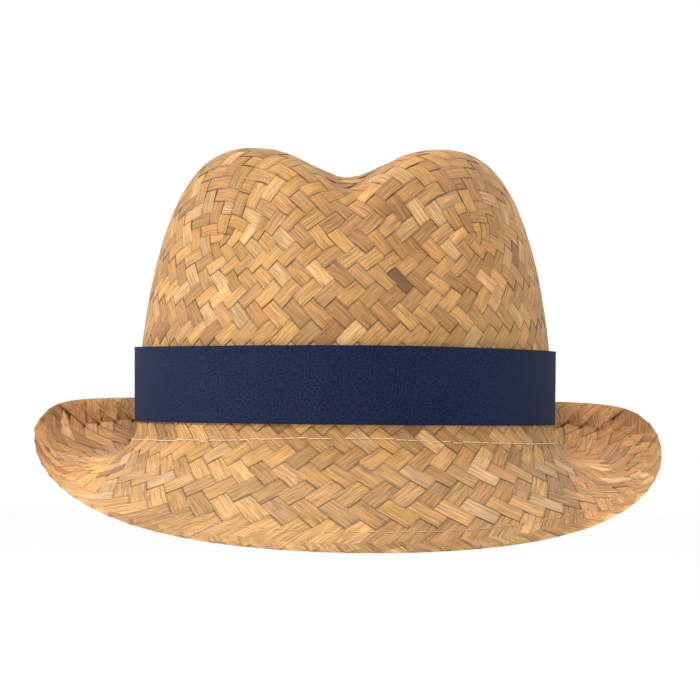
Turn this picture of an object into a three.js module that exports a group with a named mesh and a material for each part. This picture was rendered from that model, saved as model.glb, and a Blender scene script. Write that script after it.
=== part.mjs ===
// A woven straw trilby: a pinched crown and a turned-down brim plaited in one piece, a hem folded
// under the brim's edge, a sweatband sewn round the head opening, and a ribbon loop that sits
// loose round the crown. Millimetres. +Z is up and the front of the hat faces -Y. The origin is
// the middle of the head opening, at the mean level of the line where the crown meets the brim.
import * as THREE from 'three';

// Head opening and layers of the wall, from the head outwards
const HEAD_HALF_WIDTH = 83.5;
const HEAD_HALF_LENGTH = 101;
const SWEATBAND_THICKNESS = 0.9;
const SWEATBAND_GAP = 0.4;
const STRAW_THICKNESS = 1.2;
const BAND_GAP = 0.4;
const BAND_THICKNESS = 0.6;

// Crown
const WALL_FOOT_HEIGHT = 10;
const CROWN_HEIGHT = 126;
const SIDE_LEAN = 0.19;
const FRONT_LEAN = 0.24;
const BACK_LEAN = 0.17;
const LEAN_SPAN = 100;
const SIDE_SHOULDER_POWER = 7;
const END_SHOULDER_POWER = 5.2;
const SUMMIT_SETBACK = 15;
const FRONT_FALL = 7;
const BACK_FALL = 4;
const FALL_SPAN = 85;

// Lengthwise crease of the crown's top
const CREASE_FRONT_DEPTH = 11;
const CREASE_MIDDLE_DEPTH = 22;
const CREASE_BACK_DEPTH = 5.5;
const CREASE_WIDTH = 10;
const CREASE_FRONT_SPAN = [-70, -10];
const CREASE_BACK_SPAN = [-5, 65];
const CREASE_START_HEIGHT = 45;
const CREASE_FULL_HEIGHT = 112;

// Finger pinches at the crown's front: bearing from the front in degrees, depth, reach
const PINCHES = [
  { bearing: 24, depth: 11, spread: 14 },
  { bearing: -37, depth: 8.5, spread: 16 },
];
const PINCH_FOOT_HEIGHT = 40;
const PINCH_FULL_HEIGHT = 88;
const PINCH_TOP_HEIGHT = 126;
const PINCH_INNER_REACH = 60;

// Brim
const BRIM_HALF_WIDTH = 129;
const BRIM_FRONT_REACH = 137;
const BRIM_BACK_REACH = 136.5;
const ROOT_WAVE = 2.5;
const EDGE_RAKE = 30.4;
const EDGE_WAVE = 6.2;
const EDGE_BACK_RISE = 14.3;
// Steaming leaves the brim a little uneven: its low point and its middle lie off to one side
const EDGE_TURN = 3;
const EDGE_SHIFT = 1.5;
// The brim's pull towards its edge: distance out from the wall and height, at front, side, back
const SWEEP_REACH = [20.6, 29, 21.3];
const SWEEP_HEIGHT = [-20.7, -17.5, -0.6];
const TURN_DROP = 2;
const HEM_WIDTH = 11;
const HEM_STITCH_INSET = 9.5;
const HEM_THICKNESS = 2.6;
const EDGE_ROUNDING = 0.6;

// Ribbon loop, sweatband, label and thread
const BAND_BOTTOM = 10.8;
const BAND_HEIGHT = 30.4;
const LAP_HALF_ANGLE = 4;
const SWEATBAND_HEIGHT = 30;
const SWEATBAND_RISE = 1;
const ROOT_STITCH_RISE = 3;
const THREAD_RADIUS = 0.25;
const CLEARANCE = 0.3;
const LABEL_WIDTH = 20;
const LABEL_HEIGHT = 12;
const LABEL_THICKNESS = 0.5;

// Mesh density
const AROUND = 64;
const TOP_ROWS = 8;
const WALL_ROWS = 11;
const BRIM_ROWS = 8;

const STRAW_OUTER = SWEATBAND_THICKNESS + SWEATBAND_GAP + STRAW_THICKNESS;
const BAND_INNER = STRAW_OUTER + BAND_GAP;
const BAND_OUTER = BAND_INNER + BAND_THICKNESS;
const WALL_HALF_WIDTH = HEAD_HALF_WIDTH + STRAW_OUTER;
const WALL_HALF_LENGTH = HEAD_HALF_LENGTH + STRAW_OUTER;
const SWEATBAND_DEPTH = STRAW_THICKNESS + SWEATBAND_GAP;
const THREAD_STANDOFF = CLEARANCE + THREAD_RADIUS;

function smoothStep(low, high, value) {
  const t = THREE.MathUtils.clamp((value - low) / (high - low), 0, 1);
  return t * t * (3 - 2 * t);
}

// A value that changes smoothly from the front round to the sides and the back
function roundTheHat(bearing, front, side, back) {
  const c = Math.cos(bearing);
  return side + ((front - back) / 2) * c + ((front + back) / 2 - side) * c * c;
}

// Height of the line where the crown meets the brim
function rootHeight(bearing) {
  return ROOT_WAVE * Math.cos(2 * bearing);
}

// Height of the brim's edge: it dips to the front and levels out high round the back
function edgeHeight(bearing) {
  const c = Math.cos(bearing - THREE.MathUtils.degToRad(EDGE_TURN));
  if (c < 0) {
    return EDGE_WAVE - EDGE_BACK_RISE * Math.tanh((1.5 * EDGE_RAKE * c) / EDGE_BACK_RISE);
  }
  return -EDGE_RAKE * (1.5 * c - 0.5 * c ** 3) - EDGE_WAVE * (2 * c * c - 1);
}

function ovalPoint(bearing, halfWidth, halfLength, z) {
  return new THREE.Vector3(halfWidth * Math.sin(bearing), -halfLength * Math.cos(bearing), z);
}

// Depth of the top's crease at a distance y along the hat
function creaseDepth(y) {
  const toMiddle = smoothStep(...CREASE_FRONT_SPAN, y);
  const toBack = smoothStep(...CREASE_BACK_SPAN, y);
  const front = THREE.MathUtils.lerp(CREASE_FRONT_DEPTH, CREASE_MIDDLE_DEPTH, toMiddle);
  return THREE.MathUtils.lerp(front, CREASE_BACK_DEPTH, toBack);
}

function pinchInset(bearing, z) {
  const rise = smoothStep(PINCH_FOOT_HEIGHT, PINCH_FULL_HEIGHT, z);
  const fade = 1 - smoothStep(PINCH_FULL_HEIGHT, PINCH_TOP_HEIGHT, z);
  let inset = 0;
  for (const pinch of PINCHES) {
    const turn = THREE.MathUtils.radToDeg(bearing) - pinch.bearing;
    inset += pinch.depth * Math.exp(-((turn / pinch.spread) ** 2));
  }
  return inset * rise * fade;
}

// Outer face of the crown. along runs from 0 at the tip's middle to 1 at the foot of the wall.
function crownPoint(bearing, along) {
  const s2 = Math.sin(bearing) ** 2;
  const power = SIDE_SHOULDER_POWER * s2 + END_SHOULDER_POWER * (1 - s2);
  const corner = 0.5 ** (1 / power);
  let spread = 2 * along * corner;
  let rise = (1 - spread ** power) ** (1 / power);
  if (along > 0.5) {
    rise = 2 * (1 - along) * corner;
    spread = (1 - rise ** power) ** (1 / power);
  }
  const height = CROWN_HEIGHT - WALL_FOOT_HEIGHT;
  const lean = ((rise * height) / LEAN_SPAN) ** 2;
  const endLean = (FRONT_LEAN + BACK_LEAN) / 2 + ((FRONT_LEAN - BACK_LEAN) / 2) * Math.cos(bearing);
  const halfWidth = WALL_HALF_WIDTH * spread * (1 - SIDE_LEAN * lean);
  const halfLength = WALL_HALF_LENGTH * spread * (1 - endLean * lean);
  const p = ovalPoint(bearing, halfWidth, halfLength, WALL_FOOT_HEIGHT + rise * height);

  const reach = Math.hypot(p.x, p.y);
  if (reach > 0) {
    const signedBearing = Math.atan2(Math.sin(bearing), Math.cos(bearing));
    const inset = pinchInset(signedBearing, p.z) * Math.min(1, (reach / PINCH_INNER_REACH) ** 2);
    p.x *= 1 - inset / reach;
    p.y *= 1 - inset / reach;
  }
  const fall = p.y < SUMMIT_SETBACK ? FRONT_FALL : BACK_FALL;
  const crease = creaseDepth(p.y) / Math.cosh(p.x / CREASE_WIDTH);
  const sink = fall * ((p.y - SUMMIT_SETBACK) / FALL_SPAN) ** 2 + crease;
  p.z -= sink * smoothStep(CREASE_START_HEIGHT, CREASE_FULL_HEIGHT, p.z);
  return p;
}

// Upper face of the brim. along runs from 0 at the foot of the crown's wall to 1 at the edge.
function brimPoint(bearing, along) {
  const foot = ovalPoint(bearing, WALL_HALF_WIDTH, WALL_HALF_LENGTH, WALL_FOOT_HEIGHT);
  const sideReach = (BRIM_FRONT_REACH + BRIM_BACK_REACH) / 2;
  const edgeReach = roundTheHat(bearing, BRIM_FRONT_REACH, sideReach, BRIM_BACK_REACH);
  const edge = ovalPoint(bearing, BRIM_HALF_WIDTH, edgeReach, edgeHeight(bearing));
  edge.x += EDGE_SHIFT;
  const outward = edge.clone().sub(foot).setZ(0).normalize();
  const turn = foot.clone().setZ(rootHeight(bearing) - TURN_DROP);
  const sweep = foot.clone().addScaledVector(outward, roundTheHat(bearing, ...SWEEP_REACH));
  sweep.z = roundTheHat(bearing, ...SWEEP_HEIGHT);
  return new THREE.CubicBezierCurve3(foot, turn, sweep, edge).getPoint(along);
}

// The whole outer face: 0 is the tip's middle, 1 the foot of the wall, 2 the brim's edge
function hatPoint(bearing, along) {
  return along <= 1 ? crownPoint(bearing, along) : brimPoint(bearing, along - 1);
}

// The way out of the straw on its outer, upper face
function hatNormal(bearing, along) {
  const step = 0.002;
  const low = Math.max(along - step, 0.004);
  const high = Math.min(along + step, 2);
  const down = hatPoint(bearing, high).sub(hatPoint(bearing, low));
  const middle = (low + high) / 2;
  const turn = hatPoint(bearing + step, middle).sub(hatPoint(bearing - step, middle));
  return turn.cross(down).negate().normalize();
}

function offsetPoint(bearing, along, depth) {
  return hatPoint(bearing, along).addScaledVector(hatNormal(bearing, along), -depth);
}

// Brim parameter of the point that lies a distance in from the edge
function alongFromEdge(bearing, distance) {
  let along = 2;
  let left = distance;
  while (left > 0 && along > 1) {
    left -= hatPoint(bearing, along).distanceTo(hatPoint(bearing, along - 0.005));
    along -= 0.005;
  }
  return along;
}

// Brim parameter of the point at a height above the root line, on the flare under the wall
function alongAtRise(bearing, rise) {
  let along = 1;
  while (hatPoint(bearing, along).z > rootHeight(bearing) + rise) {
    along += 0.002;
  }
  return along;
}

// A point of the crown's wall at a height, a depth inside its outer face
function wallPoint(bearing, z, depth) {
  if (z <= WALL_FOOT_HEIGHT) {
    return ovalPoint(bearing, WALL_HALF_WIDTH - depth, WALL_HALF_LENGTH - depth, z);
  }
  let along = 1;
  while (hatPoint(bearing, along).z < z) {
    along -= 0.001;
  }
  return offsetPoint(bearing, along, depth);
}

function bearings() {
  return Array.from({ length: AROUND }, (_, k) => (2 * Math.PI * k) / AROUND);
}

function geometryFrom(points, triangles) {
  const geometry = new THREE.BufferGeometry();
  geometry.setAttribute('position', new THREE.Float32BufferAttribute(points.flat(), 3));
  geometry.setIndex(triangles.flat());
  geometry.computeVertexNormals();
  return geometry;
}

// A shell of rings that closes on a single point at each end
function poleToPole(first, rings, last) {
  const points = [first.toArray(), ...rings.flat().map((p) => p.toArray()), last.toArray()];
  const triangles = [];
  const at = (ring, k) => 1 + ring * AROUND + (k % AROUND);
  for (let k = 0; k < AROUND; k += 1) {
    triangles.push([0, at(0, k), at(0, k + 1)]);
    triangles.push([points.length - 1, at(rings.length - 1, k + 1), at(rings.length - 1, k)]);
    for (let ring = 0; ring + 1 < rings.length; ring += 1) {
      triangles.push([at(ring, k), at(ring + 1, k), at(ring + 1, k + 1)]);
      triangles.push([at(ring, k), at(ring + 1, k + 1), at(ring, k + 1)]);
    }
  }
  return geometryFrom(points, triangles);
}

// A loop round the hat with the same closed section at every bearing. The section's points go
// round it with the outside of the loop first, from top to bottom.
function loopSolid(sectionAt) {
  const sections = bearings().map(sectionAt);
  const size = sections[0].length;
  const triangles = [];
  const at = (k, corner) => (k % AROUND) * size + (corner % size);
  for (let k = 0; k < AROUND; k += 1) {
    for (let corner = 0; corner < size; corner += 1) {
      triangles.push([at(k, corner), at(k, corner + 1), at(k + 1, corner + 1)]);
      triangles.push([at(k, corner), at(k + 1, corner + 1), at(k + 1, corner)]);
    }
  }
  return geometryFrom(sections.flat().map((p) => p.toArray()), triangles);
}

// A thread that lies along the hat's face: a square section round the line of its middle
function threadLoop(middleAt, normalAt) {
  return loopSolid((bearing) => {
    const middle = middleAt(bearing);
    const out = normalAt(bearing);
    const step = 0.01;
    const run = middleAt(bearing + step).sub(middleAt(bearing - step)).normalize();
    const up = run.clone().cross(out).negate().normalize();
    return [[1, 1], [1, -1], [-1, -1], [-1, 1]].map(([a, b]) => middle.clone()
      .addScaledVector(out, a * THREAD_RADIUS)
      .addScaledVector(up, b * THREAD_RADIUS));
  });
}

// A ring at a fixed offset outside the head oval, between two heights
function wallSection(bearing, inner, outer, bottom, top) {
  const ring = (offset, z) => ovalPoint(bearing, HEAD_HALF_WIDTH + offset, HEAD_HALF_LENGTH + offset, z);
  return [ring(outer, top), ring(outer, bottom), ring(inner, bottom), ring(inner, top)];
}

function onLap(bearing) {
  return Math.abs(THREE.MathUtils.radToDeg(bearing) - 180) <= LAP_HALF_ANGLE;
}

// Evenly spaced values after one limit and up to the other
function spacing(from, to, count) {
  return Array.from({ length: count }, (_, k) => from + ((to - from) * (k + 1)) / count);
}

// Crown, brim and folded hem as one shell: down the outer face, round the edge, back up inside
function strawBody() {
  const crownRows = [...spacing(0, 0.5, TOP_ROWS), ...spacing(0.5, 1, WALL_ROWS)];
  const shares = spacing(0, 1, BRIM_ROWS);
  const insets = [HEM_STITCH_INSET, HEM_STITCH_INSET / 2, 0];
  const brimLines = shares.map((share) => (b) => 1 + share * (alongFromEdge(b, HEM_WIDTH) - 1));
  const hemLines = insets.map((inset) => (b) => alongFromEdge(b, inset));
  const innerLines = [...crownRows.map((along) => () => along), ...brimLines];
  const ringAt = (line, depth) => bearings().map((b) => offsetPoint(b, line(b), depth));
  const edgeRing = bearings().map((b) => {
    const away = hatPoint(b, 2).sub(hatPoint(b, 1.99)).normalize();
    return offsetPoint(b, 2, HEM_THICKNESS / 2).addScaledVector(away, EDGE_ROUNDING);
  });
  const hemEnd = (b) => alongFromEdge(b, HEM_WIDTH - CLEARANCE);
  const rings = [
    ...[...innerLines, ...hemLines].map((line) => ringAt(line, 0)),
    edgeRing,
    ...[...hemLines].reverse().map((line) => ringAt(line, HEM_THICKNESS)),
    ringAt(hemEnd, HEM_THICKNESS),
    ...[...innerLines].reverse().map((line) => ringAt(line, STRAW_THICKNESS)),
  ];
  const tip = crownPoint(0, 0);
  return poleToPole(tip, rings, tip.clone().setZ(tip.z - STRAW_THICKNESS));
}

// The ribbon: its ends lap over each other at the back of the loop
function hatBand() {
  return loopSolid((b) => {
    const outer = BAND_OUTER + (onLap(b) ? BAND_THICKNESS : 0);
    return wallSection(b, BAND_INNER, outer, BAND_BOTTOM, BAND_BOTTOM + BAND_HEIGHT);
  });
}

// The sweatband lies against the wall's inner face and hangs straight below the wall's foot
function sweatband() {
  return loopSolid((b) => {
    const bottom = rootHeight(b) + SWEATBAND_RISE;
    const levels = [SWEATBAND_HEIGHT, SWEATBAND_HEIGHT * 0.7, SWEATBAND_HEIGHT * 0.4, 0];
    const face = (depth) => levels.map((rise) => wallPoint(b, bottom + rise, depth));
    return [...face(SWEATBAND_DEPTH), ...face(SWEATBAND_DEPTH + SWEATBAND_THICKNESS).toReversed()];
  });
}

// A straight line of stitching across a lap, standing on the outside of the wall
function lapThread(offset, bottom, height) {
  const thread = new THREE.BoxGeometry(2 * THREAD_RADIUS, 2 * THREAD_RADIUS, height);
  const y = HEAD_HALF_LENGTH + offset + THREAD_STANDOFF;
  thread.translate(0, y, bottom + height / 2);
  return thread;
}

// The hem's line of stitching, at a depth inside the brim's upper face
function hemThread(depth) {
  const line = (b) => alongFromEdge(b, HEM_STITCH_INSET);
  return threadLoop((b) => offsetPoint(b, line(b), depth), (b) => hatNormal(b, line(b)));
}

function sweatbandNeedleThread() {
  const line = (b) => alongAtRise(b, ROOT_STITCH_RISE);
  return threadLoop((b) => offsetPoint(b, line(b), -THREAD_STANDOFF), (b) => hatNormal(b, line(b)));
}

function sweatbandBobbinThread() {
  const depth = SWEATBAND_DEPTH + SWEATBAND_THICKNESS + THREAD_STANDOFF;
  return threadLoop(
    (b) => wallPoint(b, rootHeight(b) + ROOT_STITCH_RISE, depth),
    (b) => new THREE.Vector3(Math.sin(b), -Math.cos(b), 0),
  );
}

// A blank woven size label, sewn flat to the sweatband at the back
function sizeLabel() {
  const label = new THREE.BoxGeometry(LABEL_WIDTH, LABEL_THICKNESS, LABEL_HEIGHT);
  const middle = rootHeight(Math.PI) + SWEATBAND_RISE + SWEATBAND_HEIGHT / 2;
  const corner = Math.PI - Math.asin(LABEL_WIDTH / 2 / HEAD_HALF_WIDTH);
  const face = wallPoint(corner, middle + LABEL_HEIGHT / 2, SWEATBAND_DEPTH + SWEATBAND_THICKNESS);
  label.translate(0, face.y - CLEARANCE - LABEL_THICKNESS / 2, middle);
  return label;
}

const STRAW = { color: 0xc89a66, roughness: 0.72, metalness: 0 };
const NAVY = { color: 0x232c47, roughness: 0.85, metalness: 0 };
const CREAM = { color: 0xe6d3ae, roughness: 0.8, metalness: 0 };
const NAVY_THREAD = { color: 0x1b2338, roughness: 0.8, metalness: 0 };
const WHITE = { color: 0xf0eee8, roughness: 0.85, metalness: 0 };

const hat = new THREE.Group();

function add(name, geometry, material) {
  const mesh = new THREE.Mesh(geometry, new THREE.MeshStandardMaterial(material));
  mesh.name = name;
  hat.add(mesh);
}

add('straw_body', strawBody(), STRAW);
add('hem_needle_thread', hemThread(-THREAD_STANDOFF), CREAM);
add('hem_bobbin_thread', hemThread(HEM_THICKNESS + THREAD_STANDOFF), CREAM);
add('sweatband', sweatband(), CREAM);
add('sweatband_needle_thread', sweatbandNeedleThread(), CREAM);
add('sweatband_bobbin_thread', sweatbandBobbinThread(), CREAM);
add('size_label', sizeLabel(), WHITE);
add('hat_band', hatBand(), NAVY);
add('hat_band_seam_thread', lapThread(BAND_OUTER + BAND_THICKNESS, BAND_BOTTOM + 1, BAND_HEIGHT - 2),
  NAVY_THREAD);

export default hat;
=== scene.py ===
"""A woven straw trilby: every leaf strip of the plait, its ribbon loop, sweatband and stitching.

Sizes are in millimetres in the hat's own frame: +Z up, the front toward -Y, the origin in the
middle of the head opening. MM turns them into the scene's metres.
"""

import math
import random

import bpy
import numpy as np
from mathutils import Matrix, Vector
from mathutils.bvhtree import BVHTree


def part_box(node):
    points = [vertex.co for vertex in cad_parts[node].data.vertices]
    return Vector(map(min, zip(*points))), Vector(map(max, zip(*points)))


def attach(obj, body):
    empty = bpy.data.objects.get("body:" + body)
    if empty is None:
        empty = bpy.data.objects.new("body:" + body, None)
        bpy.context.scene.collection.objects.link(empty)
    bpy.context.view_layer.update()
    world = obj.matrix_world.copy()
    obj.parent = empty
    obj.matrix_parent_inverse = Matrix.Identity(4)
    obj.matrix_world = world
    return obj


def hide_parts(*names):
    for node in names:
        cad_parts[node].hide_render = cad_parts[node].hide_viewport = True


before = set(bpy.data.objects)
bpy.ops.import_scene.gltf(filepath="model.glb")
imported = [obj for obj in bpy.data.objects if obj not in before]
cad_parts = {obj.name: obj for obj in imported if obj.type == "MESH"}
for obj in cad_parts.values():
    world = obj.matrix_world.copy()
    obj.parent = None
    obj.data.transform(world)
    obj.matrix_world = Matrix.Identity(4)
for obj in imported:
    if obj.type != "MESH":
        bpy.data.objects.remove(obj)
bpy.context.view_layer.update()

MM = 0.001
SEED = 7

# The hat's face, with the same figures as the CAD shell
STRAW_THICKNESS = 1.2
WALL_HALF_WIDTH = 86.0
WALL_HALF_LENGTH = 103.5
WALL_FOOT_HEIGHT = 10.0
CROWN_HEIGHT = 126.0
SIDE_LEAN, FRONT_LEAN, BACK_LEAN, LEAN_SPAN = 0.19, 0.24, 0.17, 100.0
SIDE_SHOULDER_POWER, END_SHOULDER_POWER = 7.0, 5.2
SUMMIT_SETBACK, FRONT_FALL, BACK_FALL, FALL_SPAN = 15.0, 7.0, 4.0, 85.0
CREASE_FRONT_DEPTH, CREASE_MIDDLE_DEPTH, CREASE_BACK_DEPTH = 11.0, 22.0, 5.5
CREASE_FRONT_SPAN, CREASE_BACK_SPAN, CREASE_WIDTH = (-70, -10), (-5, 65), 10.0
CREASE_START_HEIGHT, CREASE_FULL_HEIGHT = 45.0, 112.0
PINCHES = ((24.0, 11.0, 14.0), (-37.0, 8.5, 16.0))  # bearing, depth, spread
PINCH_HEIGHTS, PINCH_INNER_REACH = (40.0, 88.0, 126.0), 60.0
BRIM_HALF_WIDTH, BRIM_FRONT_REACH, BRIM_BACK_REACH = 129.0, 137.0, 136.5
ROOT_WAVE, EDGE_RAKE, EDGE_WAVE, EDGE_BACK_RISE, TURN_DROP = 2.5, 30.4, 6.2, 14.3, 2.0
EDGE_TURN, EDGE_SHIFT = math.radians(3.0), 1.5
SWEEP_REACH, SWEEP_HEIGHT = (20.6, 29.0, 21.3), (-20.7, -17.5, -0.6)
HEM_THICKNESS, HEM_STITCH_INSET = 2.6, 9.5

# The plait: strips at 45 degrees on an open box, whose square top lies over the crown's tip
SIDE = 32  # lattice steps along one side of the square
HALF = SIDE // 2
ROUND = 4 * SIDE
DROP = 34  # lattice steps from the square's edge down to the brim's edge
HEM_ROWS = 2
TIP_REACH = 86.0  # along the straw from the tip to the middle of the square's side, before relaxing
CORNER_STRETCH = 0.12  # how much further the square's corners reach
RELAX_ROUNDS = 90
EDGE_EVENNESS = 0.6  # share of the pull along the brim's edge; the rest comes from the row above
UNEVENNESS = 0.22  # spread of a crossing's place
HEM_ROUNDING = 0.3  # how far the fold stands out past the edge
STRIP_CORNERS = ((-1, 0.8), (-0.9, 1), (0, 1), (0.9, 1), (1, 0.8), (1, -1), (0, -1), (-1, -1))
# painted shade across a strip: a tone for each corner of its section, darker at the sides and underneath,
# with a touch of painted light along the top middle
CORNER_PAINTED_SHADES = (0.60, 0.97, 1.03, 0.97, 0.60, 0.75, 1.0, 0.75)
DIP_PAINTED_SHADE = 0.5  # painted shade where a strip goes under its neighbour
STRIP_THICKNESS = 0.3
STRIP_RELIEF = 0.32
STRIP_FILL = 1.04
STEP_SHARES = (0.0, 0.36, 0.5, 0.64)  # where a strip has its sections between two crossings
TURN_SHARES = (0.34, 0.66)  # a strip changes from over to under between these
EDGE_ROWS = 2  # rows next to the brim's edge where the plait is pressed flat
EDGE_PRESS = 0.7  # share of the relief that is pressed out at the edge
STRIP_CROWN = 0.05  # how far a strip's sides lie below its middle
CURL = 0.035  # spread of the lifts that tilt a strip
WIDTH_SPREAD = (0.95, 1.02)

# Ribbon, sweatband, stitches, camera
BAND_GAP, BAND_THICKNESS = 0.4, 0.6
BAND_BOTTOM, BAND_HEIGHT = 10.8, 30.4
SWEATBAND_GAP, SWEATBAND_THICKNESS, SWEATBAND_HEIGHT, SWEATBAND_RISE = 0.4, 0.9, 30.0, 1.0
ROOT_STITCH_RISE = 3.0
STITCH_WANDER = 0.16  # spread of a stitch's place beside its line
LAP_HALF_ANGLE, LAP_EASE = 4.0, 0.4  # degrees to either side of the back
CAMERA_DISTANCE, FRAME_WIDTH = 1.4, 0.2905  # metres; the width is what the camera takes in at that distance


# ---------------------------------------------------------------- the hat's face


def smooth_step(low, high, value):
    t = np.clip((value - low) / (high - low), 0, 1)
    return t * t * (3 - 2 * t)


def round_the_hat(bearing, front, side, back):
    c = np.cos(bearing)
    return side + (front - back) / 2 * c + ((front + back) / 2 - side) * c * c


def root_height(bearing):
    return ROOT_WAVE * np.cos(2 * bearing)


def edge_height(bearing):
    c = np.cos(bearing - EDGE_TURN)
    front = -EDGE_RAKE * (1.5 * c - 0.5 * c**3) - EDGE_WAVE * (2 * c * c - 1)
    back = EDGE_WAVE - EDGE_BACK_RISE * np.tanh(1.5 * EDGE_RAKE * c / EDGE_BACK_RISE)
    return np.where(c < 0, back, front)


def oval(bearing, half_width, half_length, z):
    bearing, z = np.broadcast_arrays(bearing, z)
    return np.stack([half_width * np.sin(bearing), -half_length * np.cos(bearing), z], -1)


def crease_depth(y):
    deepening = smooth_step(*CREASE_FRONT_SPAN, y)
    front = CREASE_FRONT_DEPTH + (CREASE_MIDDLE_DEPTH - CREASE_FRONT_DEPTH) * deepening
    return front + (CREASE_BACK_DEPTH - front) * smooth_step(*CREASE_BACK_SPAN, y)


def pinch_inset(bearing, z):
    degrees = np.degrees(np.arctan2(np.sin(bearing), np.cos(bearing)))
    foot, full, top = PINCH_HEIGHTS
    inset = sum(depth * np.exp(-(((degrees - at) / spread) ** 2)) for at, depth, spread in PINCHES)
    return inset * smooth_step(foot, full, z) * (1 - smooth_step(full, top, z))


def crown_point(bearing, along):
    """along runs from 0 at the tip's middle to 1 at the foot of the wall."""
    s2 = np.sin(bearing) ** 2
    power = SIDE_SHOULDER_POWER * s2 + END_SHOULDER_POWER * (1 - s2)
    corner = 0.5 ** (1 / power)
    top_spread = np.clip(2 * along * corner, 0, 1)
    wall_rise = np.clip(2 * (1 - along) * corner, 0, 1)
    spread = np.where(along <= 0.5, top_spread, (1 - wall_rise**power) ** (1 / power))
    rise = np.where(along <= 0.5, (1 - top_spread**power) ** (1 / power), wall_rise)
    height = CROWN_HEIGHT - WALL_FOOT_HEIGHT
    lean = (rise * height / LEAN_SPAN) ** 2
    end_lean = (FRONT_LEAN + BACK_LEAN) / 2 + (FRONT_LEAN - BACK_LEAN) / 2 * np.cos(bearing)
    x = WALL_HALF_WIDTH * spread * (1 - SIDE_LEAN * lean) * np.sin(bearing)
    y = -WALL_HALF_LENGTH * spread * (1 - end_lean * lean) * np.cos(bearing)
    z = WALL_FOOT_HEIGHT + rise * height
    reach = np.hypot(x, y) + 1e-9
    inset = pinch_inset(bearing, z) * np.minimum(1, (reach / PINCH_INNER_REACH) ** 2)
    x, y = x * (1 - inset / reach), y * (1 - inset / reach)
    fall = np.where(y < SUMMIT_SETBACK, FRONT_FALL, BACK_FALL)
    sink = fall * ((y - SUMMIT_SETBACK) / FALL_SPAN) ** 2 + crease_depth(y) / np.cosh(x / CREASE_WIDTH)
    return np.stack([x, y, z - sink * smooth_step(CREASE_START_HEIGHT, CREASE_FULL_HEIGHT, z)], -1)


def brim_point(bearing, along):
    """along runs from 0 at the foot of the wall to 1 at the brim's edge."""
    foot = oval(bearing, WALL_HALF_WIDTH, WALL_HALF_LENGTH, WALL_FOOT_HEIGHT)
    side_reach = (BRIM_FRONT_REACH + BRIM_BACK_REACH) / 2
    reach = round_the_hat(bearing, BRIM_FRONT_REACH, side_reach, BRIM_BACK_REACH)
    across = EDGE_SHIFT + BRIM_HALF_WIDTH * np.sin(bearing)
    edge = np.stack([across, -reach * np.cos(bearing), edge_height(bearing)], -1)
    outward = (edge - foot) * [1, 1, 0]
    outward /= np.linalg.norm(outward, axis=-1, keepdims=True)
    turn = foot.copy()
    turn[..., 2] = root_height(bearing) - TURN_DROP
    sweep = foot + outward * round_the_hat(bearing, *SWEEP_REACH)[..., None]
    sweep[..., 2] = round_the_hat(bearing, *SWEEP_HEIGHT)
    t = np.asarray(along)[..., None]
    return (1 - t) ** 3 * foot + 3 * (1 - t) ** 2 * t * turn + 3 * (1 - t) * t * t * sweep + t**3 * edge


def hat_point(bearing, along):
    """The outer face: along is 0 at the tip, 1 at the foot of the wall, 2 at the brim's edge."""
    bearing, along = np.broadcast_arrays(np.asarray(bearing, float), np.asarray(along, float))
    crown = crown_point(bearing, np.clip(along, 0, 1))
    brim = brim_point(bearing, np.clip(along - 1, 0, 1))
    return np.where((along <= 1)[..., None], crown, brim)


def hat_normal(bearing, along):
    step = 0.002
    low, high = np.clip(along - step, 0.004, 2), np.clip(along + step, 0.008, 2)
    down = hat_point(bearing, high) - hat_point(bearing, low)
    turn = hat_point(bearing + step, (low + high) / 2) - hat_point(bearing - step, (low + high) / 2)
    out = np.cross(down, turn)
    return out / np.linalg.norm(out, axis=-1, keepdims=True)


def unit(v):
    return v / (np.linalg.norm(v, axis=-1, keepdims=True) + 1e-12)


class Face:
    """The hat's face as a fine net, to find nearest points and lengths along it."""

    ROUND_STEPS, DOWN_STEPS = 480, 360

    def __init__(self):
        self.bearings = np.linspace(0, 2 * math.pi, self.ROUND_STEPS, endpoint=False)
        self.alongs = np.linspace(0.0, 2.0, self.DOWN_STEPS)
        self.net = hat_point(self.bearings[:, None], self.alongs[None, :])
        step = np.linalg.norm(np.diff(self.net, axis=1), axis=-1)
        self.length = np.concatenate([np.zeros((self.ROUND_STEPS, 1)), np.cumsum(step, axis=1)], axis=1)
        count = self.DOWN_STEPS
        k = np.arange(self.ROUND_STEPS)[:, None]
        j = np.arange(count - 1)[None, :]
        after = (k + 1) % self.ROUND_STEPS
        quads = np.stack([k * count + j, k * count + j + 1, after * count + j + 1, after * count + j], -1)
        self.tree = BVHTree.FromPolygons(self.net.reshape(-1, 3).tolist(), quads.reshape(-1, 4).tolist())
        self.edge = hat_point(np.linspace(0, 2 * math.pi, 2400, endpoint=False), 2.0)

    def at(self, bearing, distance):
        """The point a distance down from the tip, on one bearing."""
        row = int(round(bearing / (2 * math.pi) * self.ROUND_STEPS)) % self.ROUND_STEPS
        along = np.interp(distance, self.length[row], self.alongs)
        return hat_point(bearing, along)

    def total(self, bearing):
        row = int(round(bearing / (2 * math.pi) * self.ROUND_STEPS)) % self.ROUND_STEPS
        return self.length[row, -1]

    def nearest(self, points):
        found = [self.tree.find_nearest(Vector(p)) for p in points]
        return np.array([f[0] for f in found]), np.array([f[1] for f in found])

    def nearest_edge(self, points):
        gaps = np.linalg.norm(points[:, None, :] - self.edge[None], axis=-1)
        return self.edge[gaps.argmin(axis=1)]


# ---------------------------------------------------------------- the plait's lattice


def top_place(side, t, ring):
    """Where a point on one side of a square ring lies in the top's square."""
    return ((t, -ring), (ring, t), (-t, ring), (-ring, -t))[side]


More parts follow.
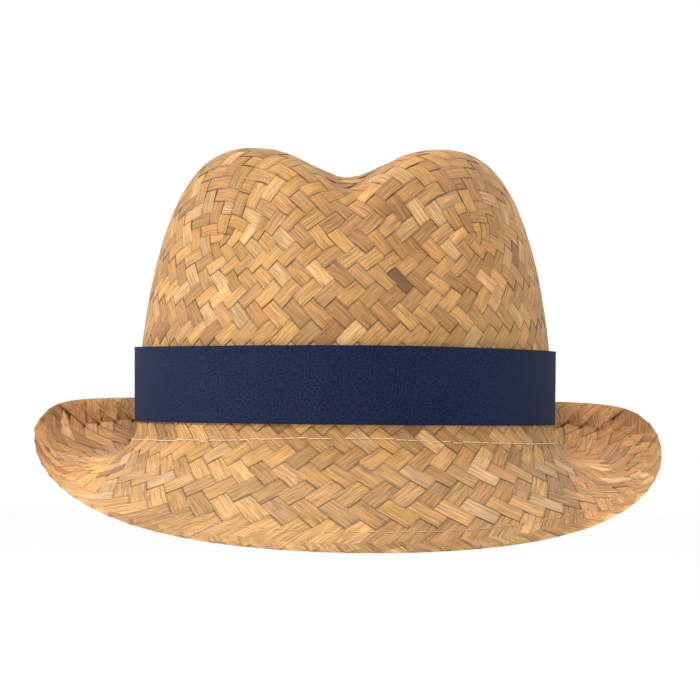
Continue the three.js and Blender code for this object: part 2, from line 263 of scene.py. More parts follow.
class Lattice:
    """Crossings of the strips: tip[x, y] on the square top and wall[u, v] round the sides."""

    def __init__(self, face):
        self.face = face
        self.tip = np.zeros((SIDE + 1, SIDE + 1, 3))
        self.wall = np.zeros((ROUND, DROP + 1, 3))
        self.set_out()
        self.relax(RELAX_ROUNDS)
        self.jitter()
        self.tip_out = self.normals(self.tip)
        self.wall_out = self.normals(self.wall)
        self.fold_hem()

    def set_out(self):
        for side in range(4):
            for t in range(-HALF, HALF + 1):
                for ring in range(0, HALF + 1):
                    if abs(t) > ring:
                        continue
                    bearing = (side + (t / (2 * ring) if ring else 0)) * math.pi / 2
                    x, y = top_place(side, t, ring)
                    reach = TIP_REACH * ring / HALF * (1 + CORNER_STRETCH * (t / max(ring, 1)) ** 2)
                    self.tip[x + HALF, y + HALF] = self.face.at(bearing % (2 * math.pi), reach)
        for u in range(ROUND):
            side, t = divmod(u, SIDE)
            t -= HALF
            bearing = ((side + t / SIDE) * math.pi / 2) % (2 * math.pi)
            start = TIP_REACH * (1 + CORNER_STRETCH * (t / HALF) ** 2)
            for v in range(DROP + 1):
                reach = start + (self.face.total(bearing) - start) * v / DROP
                self.wall[u, v] = self.face.at(bearing, reach)

    def share_rim(self):
        """The wall's top row is the square's rim."""
        for u in range(ROUND):
            side, t = divmod(u, SIDE)
            x, y = top_place(side, t - HALF, HALF)
            self.wall[u, 0] = self.tip[x + HALF, y + HALF]

    def rim_means(self):
        """Each crossing on the rim takes the mean of its two neighbours inside and two outside."""
        means = {}
        for u in range(ROUND):
            side, t = divmod(u, SIDE)
            t -= HALF
            if abs(t) == HALF:
                continue
            inside = [top_place(side, t + s, HALF - 1) for s in (-1, 1)]
            total = sum(self.tip[x + HALF, y + HALF] for x, y in inside)
            total = total + self.wall[(u + 1) % ROUND, 1] + self.wall[u - 1, 1]
            x, y = top_place(side, t, HALF)
            means[x + HALF, y + HALF] = total / 4
        return means

    def relax(self, rounds):
        """Evens out the cells, with every crossing held on the hat's face."""
        odd_wall = (np.arange(ROUND)[:, None] + np.arange(DROP + 1)[None, :]) % 2 == 1
        odd_tip = (np.arange(SIDE + 1)[:, None] + np.arange(SIDE + 1)[None, :]) % 2 == 1
        rows = np.arange(ROUND)[odd_wall[:, DROP]]
        for _ in range(rounds):
            self.share_rim()
            means = self.rim_means()
            tip, wall = self.tip.copy(), self.wall.copy()
            one_way = self.tip[2:, 2:] + self.tip[:-2, :-2]
            tip[1:-1, 1:-1] = (one_way + self.tip[2:, :-2] + self.tip[:-2, 2:]) / 4
            for place, mean in means.items():
                tip[place] = mean
            left, right = np.roll(self.wall, 1, axis=0), np.roll(self.wall, -1, axis=0)
            wall[:, 1:-1] = (left[:, :-2] + right[:, :-2] + left[:, 2:] + right[:, 2:]) / 4
            around = (np.roll(self.wall, 2, axis=0) + np.roll(self.wall, -2, axis=0))[:, -1] / 2
            above = (left + right)[:, -2] / 2
            wall[:, -1] = EDGE_EVENNESS * around + (1 - EDGE_EVENNESS) * above
            tip[odd_tip], _ = self.face.nearest(tip[odd_tip])
            inner = odd_wall.copy()
            inner[:, -1] = False
            wall[inner], _ = self.face.nearest(wall[inner])
            wall[rows, -1] = self.face.nearest_edge(wall[rows, -1])
            self.tip, self.wall = tip, wall
        self.share_rim()

    def jitter(self):
        """Hand plaiting is never quite even."""
        draw = np.random.default_rng(SEED)
        self.tip[1:-1, 1:-1] += draw.normal(0, UNEVENNESS, self.tip[1:-1, 1:-1].shape)
        self.wall[:, 1:-2] += draw.normal(0, UNEVENNESS, self.wall[:, 1:-2].shape)
        self.share_rim()

    def normals(self, points):
        """The way out of the straw at each point, after the points are set back on its face."""
        flat = points.reshape(-1, 3)
        place, out = self.face.nearest(flat)
        flat[:] = place
        # a level normal on the brim would face neither way
        out[out[:, 2] == 0] += 1e-9
        facing = np.sign(np.einsum("ij,ij->i", out, self.outward(flat)))
        return (out * facing[:, None]).reshape(points.shape)

    def outward(self, points):
        """Roughly the way out of the straw: away from the head on the crown, up on the brim."""
        away = points - np.array([0, 0, 40.0])
        low = points[:, 2] < 12
        rim = np.hypot(points[:, 0] / WALL_HALF_WIDTH, points[:, 1] / WALL_HALF_LENGTH) > 1.03
        away[low & rim] = [0, 0, 1]
        near = low & ~rim
        away[near, 2] = 0.3 * np.linalg.norm(away[near], axis=1)
        return away

    def fold_hem(self):
        """The strips go over the brim's edge and back under it."""
        out = self.wall_out[:, -1].copy()
        away = unit(self.wall[:, -1] - self.wall[:, -3])
        for k in range(1, HEM_ROWS + 1):
            twin = DROP - k
            under = self.wall[:, twin] - (HEM_THICKNESS - STRAW_THICKNESS) * self.wall_out[:, twin]
            self.wall = np.concatenate([self.wall, under[:, None]], axis=1)
            self.wall_out = np.concatenate([self.wall_out, -self.wall_out[:, twin][:, None]], axis=1)
        self.wall[:, DROP] += HEM_ROUNDING * away - out * (HEM_THICKNESS - STRAW_THICKNESS) / 2
        self.wall_out[:, DROP] = unit(away)


def is_over(row, first_family):
    """Two-over, two-under twill in level rows: which family lies on top changes every two rows."""
    return ((row // 2) % 2 == 0) == first_family


class Strip:
    """One leaf strip: up one wall, over the top round a corner of the square, down the next wall."""

    def __init__(self, lattice, corner, distance):
        self.points, self.out, self.across, self.over = [], [], [], []
        enter = SIDE * (corner + 1) - distance
        leave = SIDE * (corner + 1) + distance
        last = DROP + HEM_ROWS
        for k in range(last, 0, -1):
            self.add_wall(lattice, (enter - k) % ROUND, k, True)
        inset = HALF - distance
        x, y = ((inset, -HALF), (HALF, inset), (-inset, HALF), (-HALF, -inset))[corner]
        step = ((1, 1), (-1, 1), (-1, -1), (1, -1))[corner]
        for k in range(distance + 1):
            self.add_tip(lattice, x + k * step[0], y + k * step[1], step, k * 2 < distance)
        for k in range(1, last + 1):
            self.add_wall(lattice, (leave + k) % ROUND, k, False)
        self.points, self.out = np.array(self.points), np.array(self.out)
        self.across, self.over = np.array(self.across), np.array(self.over)

    def add_wall(self, lattice, u, v, rising):
        last = lattice.wall.shape[1] - 1
        turn = 1 if rising else -1
        below, above = min(v + 1, last), max(v - 1, 0)
        low = lattice.wall[(u + turn * (below - v)) % ROUND, below]
        high = lattice.wall[(u - turn * (v - above)) % ROUND, above]
        across = (low - high) / ((below - v) + (v - above))
        if v == DROP:
            # the fold runs along the brim's edge, so the strip's section does too
            row = lattice.wall[:, DROP]
            across = (row[(u + 2 * turn) % ROUND] - row[(u - 2 * turn) % ROUND]) / 2
        self.add(lattice.wall[u, v], lattice.wall_out[u, v], across, is_over(v, rising))

    def add_tip(self, lattice, x, y, step, rising):
        side_step = (step[1], -step[0])
        ends = []
        for sign in (1, -1):
            nx, ny = x + sign * side_step[0], y + sign * side_step[1]
            inside = abs(nx) <= HALF and abs(ny) <= HALF
            ends.append((nx, ny) if inside else (x, y))
        (ax, ay), (bx, by) = ends
        span = max(1, abs(ax - bx))
        across = (lattice.tip[ax + HALF, ay + HALF] - lattice.tip[bx + HALF, by + HALF]) / span
        row = max(abs(x), abs(y)) - HALF
        place = (x + HALF, y + HALF)
        self.add(lattice.tip[place], lattice.tip_out[place], across, is_over(row, rising))

    def add(self, point, out, across, over):
        self.points.append(point)
        self.out.append(out)
        self.across.append(across)
        self.over.append(over)


# ---------------------------------------------------------------- mesh helpers


def catmull(values):
    """Passes a smooth curve through the values, with sections between them."""
    padded = np.concatenate([2 * values[:1] - values[1:2], values, 2 * values[-1:] - values[-2:-1]])
    t = np.array(STEP_SHARES)[None, :, None]
    a, b, c, d = (padded[k : len(values) - 1 + k, None, :] for k in range(4))
    square, cube = 2 * a - 5 * b + 4 * c - d, 3 * b - a - 3 * c + d
    mid = 0.5 * (2 * b + (c - a) * t + square * t**2 + cube * t**3)
    return np.concatenate([mid.reshape(-1, values.shape[1]), values[-1:]])


def stepped(values):
    """Flat runs with a quick change half way between two crossings."""
    t = smooth_step(*TURN_SHARES, np.array(STEP_SHARES))[None, :]
    steps = values[:-1, None] * (1 - t) + values[1:, None] * t
    return np.concatenate([steps.ravel(), values[-1:]])[:, None]


def make_object(name, points, faces, body, sharp):
    mesh = bpy.data.meshes.new(name)
    mesh.from_pydata((np.asarray(points) * MM).tolist(), [], faces)
    mesh.validate()
    mesh.update()
    mesh.shade_smooth()
    mesh.set_sharp_from_angle(angle=math.radians(sharp))
    obj = bpy.data.objects.new(name, mesh)
    bpy.context.scene.collection.objects.link(obj)
    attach(obj, body)
    return obj


# ---------------------------------------------------------------- straw strips

STRAW_COLOURS = (
    # linear colour, how common it is
    ((0.385, 0.190, 0.047), 30),
    ((0.415, 0.209, 0.056), 24),
    ((0.345, 0.164, 0.038), 18),
    ((0.475, 0.268, 0.094), 12),
    ((0.352, 0.180, 0.040), 8),
    ((0.385, 0.176, 0.047), 8),
    ((0.280, 0.122, 0.030), 8),
    ((0.205, 0.082, 0.020), 2),
)
DARK_LEAF = 0.3  # a stain darker than this doesn't run far along a strip
LEAF_RUN, STAIN_RUN = (6, 30), (1, 5)  # crossings before a strip may change colour
FLOAT_SHADES = (0.78, 1.17)
BRIM_ROOT = (1.02, 1.12)  # the brim's tint sets in between these shares of the wall's own oval
BOWL_PAINTED_LIGHT_SPAN = (88, 104)  # and the painted light on its turned-up sides between these distances to the side
BRIM_TINT = (1.12, 1.21, 1.60)  # the brim's leaf is paler and pinker
BOWL_PAINTED_LIGHT = (1.6, 1.5, 1.42)  # painted light that lightens the brim's turned-up sides, which the lamps leave in shade


def strip_colours(strip, draw):
    """A colour for each crossing of a strip: spliced lengths differ, and each float a little; the brim is
    paler and pinker, and painted light lightens its turned-up sides.
    """
    palette, weights = zip(*STRAW_COLOURS)
    colours, left, base, shade = [], 0, None, 1.0
    for k, top in enumerate(strip.over):
        if base is None or (left <= 0 and not top):
            base = np.array(draw.choices(palette, weights)[0])
            left = draw.randint(*(LEAF_RUN if base[0] > DARK_LEAF else STAIN_RUN))
        if k and strip.over[k - 1] and not top:
            shade = draw.uniform(*FLOAT_SHADES)
        left -= 1
        colours.append(base * shade)
    reach = np.hypot(strip.points[:, 0] / WALL_HALF_WIDTH, strip.points[:, 1] / WALL_HALF_LENGTH)
    on_brim = smooth_step(*BRIM_ROOT, reach)[:, None]
    # painted light: the brim's turned-up sides are lightened where the lamps leave them in shade
    painted_light_at_side = on_brim * smooth_step(*BOWL_PAINTED_LIGHT_SPAN, np.abs(strip.points[:, :1]))
    tint = (1 + on_brim * (np.array(BRIM_TINT) - 1)) * (1 + painted_light_at_side * (np.array(BOWL_PAINTED_LIGHT) - 1))
    return np.array(colours) * tint


def strip_sections(strip, draw):
    """Corner points of the strip's section at every step along it, and its colour there, with painted shade
    where it dips under its neighbour.
    """
    rows = np.arange(len(strip.over))
    to_edge = np.minimum(rows, rows[::-1]) - HEM_ROWS
    pressed = 1 - EDGE_PRESS * (1 - smooth_step(0, EDGE_ROWS, np.abs(to_edge)))
    height = np.where(strip.over, STRIP_RELIEF, -STRIP_RELIEF) * pressed
    lift = np.array([[draw.gauss(0, CURL), draw.gauss(0, CURL)] for _ in strip.over])
    points = catmull(strip.points)
    out = unit(catmull(strip.out))
    across = catmull(strip.across)
    height = stepped(height)
    lift = catmull(lift)
    own = strip_colours(strip, draw)
    # painted shade: the colour darkens half way between two crossings where the strip goes under its
    # neighbour, less so where the plait is pressed flat at the edge
    painted_dip_shade = 1 - (1 - DIP_PAINTED_SHADE) * np.minimum(pressed[1:], pressed[:-1])
    painted_dip_shades = np.where(strip.over[1:] == strip.over[:-1], 1.0, painted_dip_shade)[:, None]
    sections = [own[:-1], own[:-1], (own[:-1] + own[1:]) / 2 * painted_dip_shades, own[1:]]
    colour = np.concatenate([np.stack(sections, axis=1).reshape(-1, 3), own[-1:]])
    width = draw.uniform(*WIDTH_SPREAD) * STRIP_FILL / 2
    middle = points + out * (height - STRAW_THICKNESS / 2)
    half = across * width
    thick = out * STRIP_THICKNESS / 2
    tilt = out * (lift[:, 1:] - lift[:, :1])
    ring = [middle + half * share + tilt * share + thick * side - out * STRIP_CROWN * share**2
            for share, side in STRIP_CORNERS]
    return np.stack(ring, axis=1), colour


def strip_group(name, strips, draw, material):
    """Several strips as one mesh, each a closed band, with maps for its grain and for baking."""
    points, faces, colours, grain, bake = [], [], [], [], []
    base, lanes, corners = 0, len(strips), len(STRIP_CORNERS)
    spread = np.array(STRIP_CORNERS) * [3.0, 0.2]
    pace = np.linalg.norm(np.diff(spread, axis=0, append=[STRIP_CORNERS[0]]), axis=1)
    round_it = np.concatenate([[0], np.cumsum(pace)])
    lane_at = 0.02 + 0.94 * round_it / round_it[-1]
    for lane, strip in enumerate(strips):
        rings, colour = strip_sections(strip, draw)
        count = len(rings)
        points.append(rings.reshape(-1, 3))
        # painted shade: each corner of the section takes its tone, darker at the strip's sides and
        # underside, with a touch of painted light along its top middle
        colours.append((colour[:, None] * np.array(CORNER_PAINTED_SHADES)[None, :, None]).reshape(-1, 3))
        steps = np.linalg.norm(np.diff(rings[:, 2], axis=0), axis=1)
        lengths = np.concatenate([[0], np.cumsum(steps)])
        wander = draw.uniform(0, 50)
        for k in range(count - 1):
            for corner in range(corners):
                after = (corner + 1) % corners
                ring, following = base + k * corners, base + (k + 1) * corners
                faces.append((ring + corner, ring + after, following + after, following + corner))
                low, high = round_it[corner] + wander, round_it[corner + 1] + wander
                near, far = lengths[k], lengths[k + 1]
                grain += [(low, near), (high, near), (high, far), (low, far)]
                u0, u1 = k / count, (k + 1) / count
                v0, v1 = (lane + lane_at[corner]) / lanes, (lane + lane_at[corner + 1]) / lanes
                bake += [(u0, v0), (u0, v1), (u1, v1), (u1, v0)]
        faces.append(tuple(base + c for c in reversed(range(corners))))
        faces.append(tuple(base + (count - 1) * corners + c for c in range(corners)))
        grain += [(wander, 0.0)] * (2 * corners)
        bake += [(0.0, (lane + 0.985) / lanes)] * (2 * corners)
        base += count * corners
    obj = make_object(name, np.concatenate(points), faces, "hat", 50)
    mesh = obj.data
    attribute = mesh.color_attributes.new("leaf_colour_and_painted_shading", "FLOAT_COLOR", "POINT")
    flat = np.ones((base, 4), np.float32)
    flat[:, :3] = np.concatenate(colours)
    attribute.data.foreach_set("color", flat.ravel())
    for layer, values in (("grain", grain), ("OFBake", bake)):
        mesh.uv_layers.new(name=layer).data.foreach_set("uv", np.array(values, np.float32).ravel())
    mesh.materials.append(material)
    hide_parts("straw_body")
    return obj


# ---------------------------------------------------------------- materials


class Nodes:
    """Short calls to lay out a material's nodes."""

    def __init__(self, name):
        self.material = bpy.data.materials.new(name)
        self.material.use_nodes = True
        self.tree = self.material.node_tree
        self.shader = self.tree.nodes["Principled BSDF"]

    def add(self, kind, **values):
        node = self.tree.nodes.new(kind)
        for key, value in values.items():
            if hasattr(node, key):
                setattr(node, key, value)
            else:
                node.inputs[key.replace("_", " ")].default_value = value
        return node

    def link(self, source, target):
        self.tree.links.new(source, target)

    def maths(self, operation, a, b):
        node = self.add("ShaderNodeMath", operation=operation)
        for socket, value in zip(node.inputs, (a, b)):
            if isinstance(value, (int, float)):
                socket.default_value = value
            else:
                self.link(value, socket)
        return node.outputs[0]

    def ramp(self, source, stops):
        node = self.add("ShaderNodeValToRGB")
        elements = node.color_ramp.elements
        while len(elements) < len(stops):
            elements.new(0.5)
        for element, (at, value) in zip(elements, stops):
            element.position = at
            element.color = value if len(value) == 4 else (*value, 1)
        self.link(source, node.inputs[0])
        return node.outputs[0]

    def noise(self, vector, scale, detail=3.0, roughness=0.6):
        node = self.add("ShaderNodeTexNoise")
        node.inputs["Scale"].default_value = scale
        node.inputs["Detail"].default_value = detail
        node.inputs["Roughness"].default_value = roughness
        self.link(vector, node.inputs["Vector"])
        return node.outputs["Fac"]

    def mapped(self, vector, scale):
        node = self.add("ShaderNodeMapping")
        node.inputs["Scale"].default_value = scale
        self.link(vector, node.inputs["Vector"])
        return node.outputs[0]

    def multiply(self, a, b, factor=1.0):
        node = self.add("ShaderNodeMix", data_type="RGBA", blend_type="MULTIPLY")
        node.inputs[0].default_value = factor
        self.link(a, node.inputs[6])
        if isinstance(b, tuple):
            node.inputs[7].default_value = b
        else:
            self.link(b, node.inputs[7])
        return node.outputs[2]

    def bump(self, height, distance, strength=1.0):
        node = self.add("ShaderNodeBump")
        node.inputs["Strength"].default_value = strength
        node.inputs["Distance"].default_value = distance
        self.link(height, node.inputs["Height"])
        self.link(node.outputs[0], self.shader.inputs["Normal"])


def grey(low, high):
    return ((0.0, (low, low, low)), (1.0, (high, high, high)))


def straw_material():
    """Dry leaf: fine lengthwise fibres, streaks, dark flecks and a dull shine."""
    n = Nodes("dry_leaf")
    uv = n.add("ShaderNodeUVMap", uv_map="grain").outputs[0]
    colour = n.add("ShaderNodeAttribute", attribute_name="leaf_colour_and_painted_shading").outputs["Color"]
    fibres = n.noise(n.mapped(uv, (5.0, 0.10, 1.0)), 1.0, 5.0, 0.75)
    streaks = n.noise(n.mapped(uv, (1.3, 0.05, 1.0)), 1.0, 2.0, 0.5)
    flecks = n.noise(n.mapped(uv, (2.2, 0.5, 1.0)), 1.3, 2.0, 0.7)
    fibre_tone = n.ramp(fibres, ((0.36, (0.26, 0.20, 0.15)), (0.47, (0.90, 0.89, 0.86)),
                                 (0.62, (1.36, 1.40, 1.50))))
    streak_tone = n.ramp(streaks, ((0.34, (0.72, 0.68, 0.62)), (0.5, (1.0, 1.0, 1.0)),
                                   (0.66, (1.16, 1.18, 1.24))))
    fleck_tone = n.ramp(flecks, ((0.22, (0.45, 0.34, 0.25)), (0.32, (1.0, 1.0, 1.0))))
    toned = n.multiply(n.multiply(n.multiply(colour, fibre_tone), streak_tone), fleck_tone)
    n.link(toned, n.shader.inputs["Base Color"])
    n.link(n.ramp(streaks, grey(0.50, 0.72)), n.shader.inputs["Roughness"])
    n.bump(fibres, 0.0003, 0.9)
    return n.material


def ribbon_material():
    """Navy grosgrain: fine upright ribs crossed by a finer weft."""
    n = Nodes("navy_grosgrain")
    uv = n.add("ShaderNodeUVMap", uv_map="grain").outputs[0]
    ribs = n.add("ShaderNodeTexWave", wave_type="BANDS", bands_direction="X", wave_profile="SIN")
    ribs.inputs["Scale"].default_value = 0.42
    ribs.inputs["Distortion"].default_value = 0.6
    ribs.inputs["Detail"].default_value = 1.0
    n.link(uv, ribs.inputs["Vector"])
    threads = n.noise(n.mapped(uv, (1.0, 1.3, 1.0)), 1.0, 2.0, 0.6)
    cloud = n.noise(n.mapped(uv, (0.03, 0.06, 1.0)), 1.0, 2.0, 0.5)
    base = n.ramp(ribs.outputs["Fac"], ((0.0, (0.0058, 0.0108, 0.034)), (1.0, (0.0070, 0.0128, 0.040))))
    thread_tone = n.ramp(threads, ((0.36, (0.40, 0.45, 0.55)), (0.64, (1.50, 1.45, 1.35))))
    toned = n.multiply(n.multiply(base, thread_tone), n.ramp(cloud, grey(0.85, 1.15)))
    n.link(toned, n.shader.inputs["Base Color"])
    n.link(n.ramp(threads, grey(0.78, 0.92)), n.shader.inputs["Roughness"])
    n.shader.inputs["Specular IOR Level"].default_value = 0.12
    n.bump(n.maths("ADD", n.maths("MULTIPLY", ribs.outputs["Fac"], 0.4), threads), 0.0001, 0.8)
    return n.material


def tape_material(name, low, high):
    """Plain-woven cotton tape: two crossed sets of fine threads."""
    n = Nodes(name)
    uv = n.add("ShaderNodeUVMap", uv_map="grain").outputs[0]
    sets = []
    for direction in ("X", "Y"):
        wave = n.add("ShaderNodeTexWave", wave_type="BANDS", bands_direction=direction, wave_profile="SIN")
        wave.inputs["Scale"].default_value = 0.5
        wave.inputs["Distortion"].default_value = 0.8
        n.link(uv, wave.inputs["Vector"])
        sets.append(wave.outputs["Fac"])
    weave = n.maths("MULTIPLY", sets[0], sets[1])
    cloud = n.noise(n.mapped(uv, (0.05, 0.1, 1.0)), 1.0, 3.0, 0.6)
    toned = n.multiply(n.ramp(weave, ((0.0, low), (1.0, high))), n.ramp(cloud, grey(0.86, 1.08)))
    n.link(toned, n.shader.inputs["Base Color"])
    n.link(n.ramp(cloud, grey(0.74, 0.88)), n.shader.inputs["Roughness"])
    n.bump(weave, 0.00015, 0.6)
    return n.material


def thread_material(name, low, high):
    """Twisted sewing thread."""
    n = Nodes(name)
    place = n.add("ShaderNodeTexCoord").outputs["Object"]
    twist = n.noise(n.mapped(place, (1600.0, 1600.0, 2600.0)), 1.0, 2.0, 0.6)
    n.link(n.ramp(twist, ((0.3, low), (0.7, high))), n.shader.inputs["Base Color"])
    n.link(n.ramp(twist, grey(0.6, 0.8)), n.shader.inputs["Roughness"])
    n.bump(twist, 0.00008, 0.6)
    return n.material


# ---------------------------------------------------------------- ribbon, sweatband, stitches


def band_loop(name, section_at, steps, body, material, node):
    """A closed loop of cloth round the head oval, with a map in millimetres for its weave."""
    bearings = np.linspace(0, 2 * math.pi, steps, endpoint=False)
    rings = np.array([section_at(b) for b in bearings])
    size = rings.shape[1]
    faces, grain = [], []
    pace = np.linalg.norm(np.roll(rings[:, 0], -1, axis=0) - rings[:, 0], axis=-1)
    run = np.concatenate([[0], np.cumsum(pace)])
    girth = np.linalg.norm(np.diff(rings[0], axis=0, append=rings[0][:1]), axis=-1)
    climb = np.concatenate([[0], np.cumsum(girth)])
    for k in range(steps):
        after = (k + 1) % steps
        for corner in range(size):
            following = (corner + 1) % size
            here, there = k * size, after * size
            faces.append((here + corner, here + following, there + following, there + corner))
            u0, u1, v0, v1 = run[k], run[k + 1], climb[corner], climb[corner + 1]
            grain += [(u0, v0), (u0, v1), (u1, v1), (u1, v0)]
    obj = make_object(name, rings.reshape(-1, 3), faces, body, 40)
    obj.data.uv_layers.new(name="grain").data.foreach_set("uv", np.array(grain, np.float32).ravel())
    obj.data.materials.append(material)
    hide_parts(node)
    return obj


def wall_offset(bearing, z, depth):
    """A point of the crown's wall at a height, a depth inside its outer face."""
    if z <= WALL_FOOT_HEIGHT:
        return oval(bearing, WALL_HALF_WIDTH - depth, WALL_HALF_LENGTH - depth, z)
    alongs = np.linspace(1.0, 0.6, 401)
    heights = hat_point(bearing, alongs)[:, 2]
    along = np.interp(z, heights, alongs)
    return hat_point(bearing, along) - depth * hat_normal(np.float64(bearing), np.float64(along))


def ribbon():
    """The ribbon stands off the leaning crown, its edges a little thicker, its ends lapped behind."""
    rise = np.array([1.0, 0.985, 0.96, 0.75, 0.5, 0.25, 0.04, 0.015, 0.0])
    body = np.array([-0.1, 0.06, -0.06, 0.0, 0.0, 0.0, -0.06, 0.06, -0.1])

    def section(bearing):
        lap = 1 - smooth_step(LAP_HALF_ANGLE - LAP_EASE, LAP_HALF_ANGLE, abs(math.degrees(bearing) - 180))
        ease = 0.10 * math.sin(5 * bearing + 0.6) + 0.08 * math.sin(11 * bearing)
        outer = BAND_GAP + BAND_THICKNESS * (1 + lap) + ease * 0.4
        wave = 0.25 * math.sin(3 * bearing + 1.0)
        heights = BAND_BOTTOM + BAND_HEIGHT * rise + wave * rise
        flare = 0.5 * rise * (1 + math.sin(bearing - 2.0)) * 0.5
        outside = [oval(bearing, WALL_HALF_WIDTH + outer + e + f, WALL_HALF_LENGTH + outer + e + f, z)
                   for z, e, f in zip(heights, body, flare)]
        inner = BAND_GAP + ease * 0.2
        inside = [oval(bearing, WALL_HALF_WIDTH + inner + f, WALL_HALF_LENGTH + inner + f, z)
                  for z, f in zip(heights[::-1], flare[::-1])]
        return outside + inside

    obj = band_loop("ribbon_loop", section, 480, "band", ribbon_material(), "hat_band")
    return obj


def sweatband_loop():
    """A cotton tape loop with rolled edges, close against the inside of the straw."""
    rise = np.array([1.0, 0.97, 0.9, 0.6, 0.3, 0.14, 0.08, 0.0])
    near = STRAW_THICKNESS + SWEATBAND_GAP

    def section(bearing):
        bottom = float(root_height(bearing)) + SWEATBAND_RISE
        ripple = 0.12 * math.sin(17 * bearing) + 0.08 * math.sin(29 * bearing + 1)
        pull = np.array([0.1, 0.0, 0.15, 0.2, 0.15, 0.1, 0.0, 0.1]) + ripple * rise
        faces = []
        for r in rise:
            faces.append(wall_offset(bearing, bottom + SWEATBAND_HEIGHT * r, near + 0.1))
        for r, p in zip(rise[::-1], pull[::-1]):
            depth = near + SWEATBAND_THICKNESS - 0.15 * p
            faces.append(wall_offset(bearing, bottom + SWEATBAND_HEIGHT * r, depth))
        return faces

    material = tape_material("cotton_tape", (0.50, 0.42, 0.30), (0.74, 0.66, 0.52))
    obj = band_loop("sweatband_tape", section, 256, "hat", material, "sweatband")
    return obj


def stitches(name, line, out, length, gap, sink, body, material, node, radius):
    """Separate stitches along a line, each a small thread that dips in at both ends."""
    line, out = np.asarray(line), np.asarray(out)
    runs = np.concatenate([[0], np.cumsum(np.linalg.norm(np.diff(line, axis=0), axis=1))])
    draw = random.Random(SEED + len(name))
    points, faces = [], []
    corners, shares = 6, np.linspace(0, 1, 6)
    place = gap / 2
    while place + length < runs[-1]:
        at = place + shares * length * draw.uniform(0.94, 1.02)
        centre = np.stack([np.interp(at, runs, line[:, k]) for k in range(3)], 1)
        up = unit(np.stack([np.interp(at, runs, out[:, k]) for k in range(3)], 1))
        run = unit(np.gradient(centre, axis=0))
        side = np.cross(run, up)
        lift = (radius * 0.9 - sink * (2 * shares - 1) ** 4)[:, None]
        middle = centre + up * lift + side * draw.gauss(0, STITCH_WANDER)
        base = len(points)
        for k, share in enumerate(shares):
            size = radius * (0.55 if share in (0.0, 1.0) else 1.0)
            for corner in range(corners):
                angle = corner * math.pi / 3
                points.append(middle[k] + size * (math.cos(angle) * side[k] + math.sin(angle) * up[k]))
        for k in range(len(shares) - 1):
            ring = base + k * corners
            for corner in range(corners):
                a, b = ring + corner, ring + (corner + 1) % corners
                faces.append((a, b, b + corners, a + corners))
        faces.append(tuple(base + c for c in reversed(range(corners))))
        faces.append(tuple(len(points) - corners + c for c in range(corners)))
        place += length + gap
    obj = make_object(name, points, faces, body, 60)
    obj.data.materials.append(material)
    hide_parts(node)
    return obj


def all_stitches():
    cream = thread_material("cream_sewing_thread", (0.52, 0.38, 0.22), (0.78, 0.64, 0.44))
    tan = thread_material("tan_sewing_thread", (0.45, 0.29, 0.13), (0.62, 0.44, 0.24))
    navy = thread_material("navy_sewing_thread", (0.010, 0.014, 0.032), (0.022, 0.030, 0.060))
    turns = np.linspace(0, 2 * math.pi, 721)
    alongs = np.linspace(1.0, 2.0, 501)
    foot, hem = [], []
    for b in turns:
        profile = hat_point(b, alongs)
        foot.append(np.interp(root_height(b) + ROOT_STITCH_RISE, profile[:80][::-1, 2], alongs[:80][::-1]))
        left = np.concatenate([[0], np.cumsum(np.linalg.norm(np.diff(profile[::-1], axis=0), axis=1))])
        hem.append(np.interp(HEM_STITCH_INSET, left, alongs[::-1]))
    foot, hem = np.array(foot), np.array(hem)
    foot_out, hem_out = hat_normal(turns, foot), hat_normal(turns, hem)
    foot_line, hem_line = hat_point(turns, foot), hat_point(turns, hem)
    stitches("foot_stitches", foot_line, foot_out, 4.4, 0.5, 0.25, "hat", cream,
             "sweatband_needle_thread", 0.17)
    stitches("hem_stitches", hem_line, hem_out, 4.2, 2.2, 0.3, "hat", tan,
             "hem_needle_thread", 0.14)
    stitches("hem_under_stitches", hem_line - hem_out * HEM_THICKNESS, -hem_out, 4.2, 2.2, 0.3, "hat", tan,
             "hem_bobbin_thread", 0.14)
    depth = STRAW_THICKNESS + SWEATBAND_GAP + SWEATBAND_THICKNESS
    level = root_height(turns) + ROOT_STITCH_RISE
    inner = oval(turns, WALL_HALF_WIDTH - depth, WALL_HALF_LENGTH - depth, level)
    inward = -np.stack([np.sin(turns), -np.cos(turns), 0 * turns], -1)
    stitches("sweatband_inside_stitches", inner, inward, 3.6, 1.0, 0.5, "hat", cream,
             "sweatband_bobbin_thread", 0.28)
    heights = np.linspace(BAND_BOTTOM + 1, BAND_BOTTOM + BAND_HEIGHT - 1, 40)
    y = WALL_HALF_LENGTH + BAND_GAP + 2 * BAND_THICKNESS
    seam = np.stack([0 * heights, y + 0 * heights, heights], -1)
    stitches("ribbon_lap_stitches", seam, np.tile([0.0, 1.0, 0.0], (40, 1)), 2.4, 0.8, 0.35, "band", navy,
             "hat_band_seam_thread", 0.24)


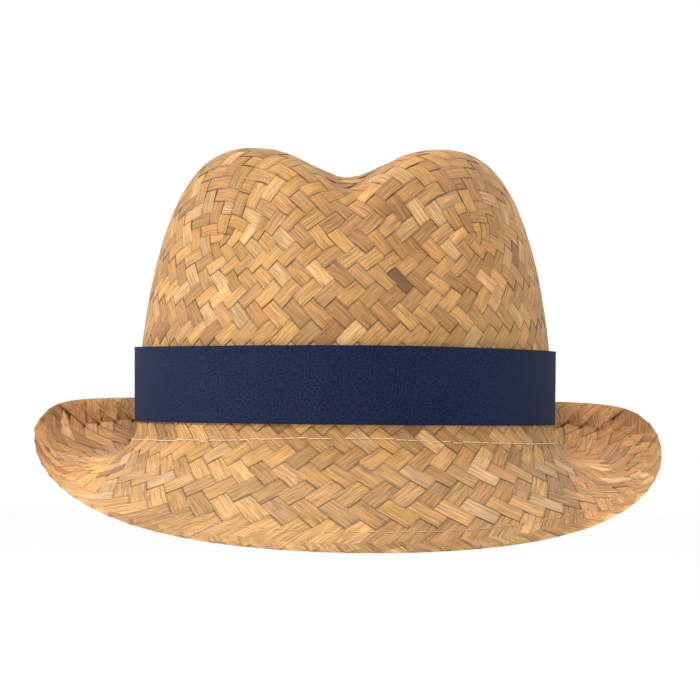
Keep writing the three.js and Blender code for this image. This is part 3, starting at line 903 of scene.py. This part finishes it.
def label():
    """A blank woven label of two layers, slightly wavy, a little thicker along its top and bottom rows."""
    low, high = (np.array(c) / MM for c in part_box("size_label"))
    columns, rows = 24, 10
    points, faces, grain = [], [], []
    for depth in (0.0, 0.42):
        for j in range(rows + 1):
            for i in range(columns + 1):
                x = low[0] + (high[0] - low[0]) * i / columns
                z = low[2] + (high[2] - low[2]) * j / rows
                hem = 0.12 if j in (0, 1, rows - 1, rows) else 0.0
                y = high[1] - depth * (1 + hem) + 0.1 * math.cos(i / columns * math.pi * 2)
                points.append((x, y, z))
    layer = (columns + 1) * (rows + 1)
    for j in range(rows):
        for i in range(columns):
            a = j * (columns + 1) + i
            quad = (a, a + 1, a + columns + 2, a + columns + 1)
            faces += [quad[::-1], tuple(layer + q for q in quad)]
    rim = list(range(columns + 1)) + [(j + 1) * (columns + 1) - 1 for j in range(1, rows + 1)]
    rim += [rows * (columns + 1) + i for i in range(columns - 1, -1, -1)]
    rim += [j * (columns + 1) for j in range(rows - 1, 0, -1)]
    for a, b in zip(rim, rim[1:] + rim[:1]):
        faces.append((a, b, layer + b, layer + a))
    obj = make_object("blank_size_label", points, faces, "hat", 40)
    for face in faces:
        grain += [(points[c][0] * 1.6, points[c][2] * 1.6) for c in face]
    obj.data.uv_layers.new(name="grain").data.foreach_set("uv", np.array(grain, np.float32).ravel())
    obj.data.materials.append(tape_material("label_satin", (0.70, 0.69, 0.66), (0.86, 0.85, 0.82)))
    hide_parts("size_label")


# ---------------------------------------------------------------- camera, light, floor


def aim(obj, target):
    obj.rotation_euler = (Vector(target) - obj.location).to_track_quat("-Z", "Y").to_euler()


def camera():
    data = bpy.data.cameras.new("camera")
    data.sensor_width = 36.0
    data.lens = 36.0 * CAMERA_DISTANCE / FRAME_WIDTH
    obj = bpy.data.objects.new("camera", data)
    obj.location = (0.0008, -CAMERA_DISTANCE, 0.021)
    obj.rotation_euler = (math.radians(90), 0, 0)
    obj.rotation_euler.rotate_axis("Z", math.radians(0.55))
    data.shift_y = 0.0689
    data.shift_x = 0.0043
    data.clip_start, data.clip_end = 0.05, 30
    bpy.context.scene.collection.objects.link(obj)
    bpy.context.scene.camera = obj


def soft_light(name, place, target, size, power, colour=(1, 1, 1)):
    data = bpy.data.lights.new(name, "AREA")
    data.shape, data.size, data.energy, data.color = "DISK", size, power, colour
    obj = bpy.data.objects.new(name, data)
    obj.location = place
    bpy.context.scene.collection.objects.link(obj)
    aim(obj, target)


def studio():
    scene = bpy.context.scene
    world = bpy.data.worlds.new("studio")
    world.use_nodes = True
    world.node_tree.nodes["Background"].inputs["Color"].default_value = (1.0, 1.0, 1.0, 1)
    world.node_tree.nodes["Background"].inputs["Strength"].default_value = 1.0
    scene.world = world
    scene.view_settings.view_transform = "Standard"
    soft_light("key", (-1.95, -0.5, 1.3), (0, 0, 0.04), 0.6, 48, (1.0, 0.99, 0.97))
    soft_light("fill", (1.2, -1.4, 0.5), (0, 0, 0.03), 1.2, 6)
    soft_light("top", (0.1, -0.5, 1.8), (0, 0, 0), 1.0, 10)
    floor = bpy.data.meshes.new("floor")
    reach, level = 8.0, -0.30
    corners = [(x * reach, y * reach, level) for x, y in ((-1, -1), (1, -1), (1, 1), (-1, 1))]
    floor.from_pydata(corners, [], [(0, 1, 2, 3)])
    obj = bpy.data.objects.new("floor", floor)
    scene.collection.objects.link(obj)
    pale = Nodes("pale_floor")
    pale.shader.inputs["Base Color"].default_value = (0.97, 0.97, 0.97, 1)
    pale.shader.inputs["Roughness"].default_value = 0.9
    floor.materials.append(pale.material)


# ---------------------------------------------------------------- the hat


def straw():
    """All the strips, in eight groups, so that each group is a piece of moderate size."""
    lattice = Lattice(Face())
    material = straw_material()
    names = ("front_left", "back_left", "back_right", "front_right")
    for corner, name in enumerate(names):
        for half in (0, 1):
            draw = random.Random(SEED + corner * 2 + half)
            strips = [Strip(lattice, corner, d) for d in range(1 + 2 * half, SIDE, 4)]
            strip_group(f"straw_strips_{name}_{'ab'[half]}", strips, draw, material)


camera()
straw()
ribbon()
sweatband_loop()
all_stitches()
label()
studio()
